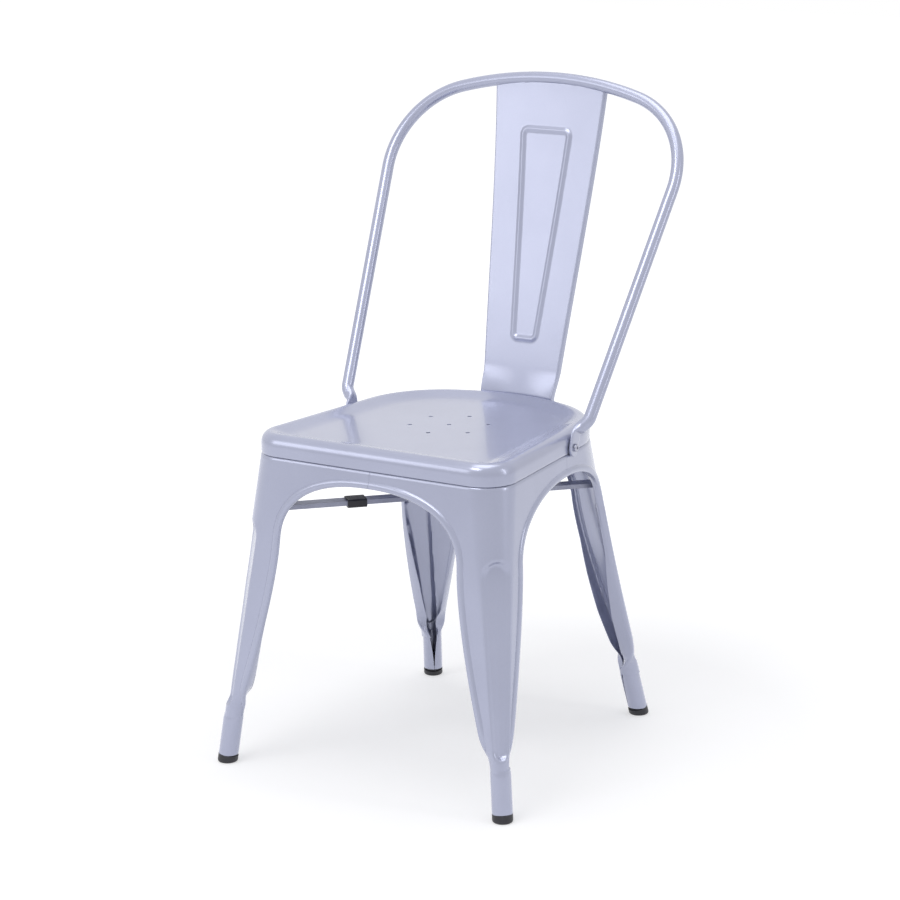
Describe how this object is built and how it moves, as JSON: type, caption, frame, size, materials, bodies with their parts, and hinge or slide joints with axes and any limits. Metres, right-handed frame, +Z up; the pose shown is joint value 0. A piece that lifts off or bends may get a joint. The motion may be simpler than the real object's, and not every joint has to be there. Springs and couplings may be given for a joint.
{
  "type": "metal bistro chair",
  "caption": "Stacking side chair of pressed and painted sheet steel: dished seat with drain holes, four fluted flaring legs joined by arches, bent tube back with a tapered centre panel.",
  "frame": {"origin": "on the floor, under the middle of the chair's bounding box", "axes": "+Z up, +Y towards the back of the chair, +X to the right as seen from the front, so the front faces -Y"},
  "size_m": [0.4484, 0.5027, 0.8499],
  "materials": {
    "lavender_silver_paint": "glossy powder coat with a faint metallic sheen",
    "grey_brace_paint": "satin paint, darker under the seat",
    "black_pad_plastic": "matte moulded",
    "black_foot_rubber": "matte moulded",
    "zinc_screw": "satin, painted over"
  },
  "bodies": {
    "root": {"seat_pan": "lavender_silver_paint", "front_right_leg": "lavender_silver_paint", "front_left_leg": "lavender_silver_paint", "rear_right_leg": "lavender_silver_paint", "rear_left_leg": "lavender_silver_paint", "back_hoop": "lavender_silver_paint", "back_splat": "lavender_silver_paint", "brace_lower_bar": "grey_brace_paint", "brace_upper_bar": "grey_brace_paint", "brace_pad_right": "black_pad_plastic", "brace_pad_left": "black_pad_plastic", "foot_cap_front_right": "black_foot_rubber", "foot_cap_front_left": "black_foot_rubber", "foot_cap_rear_right": "black_foot_rubber", "foot_cap_rear_left": "black_foot_rubber", "hoop_screws": "zinc_screw", "hoop_nuts": "zinc_screw"}
  },
  "joints": []
}
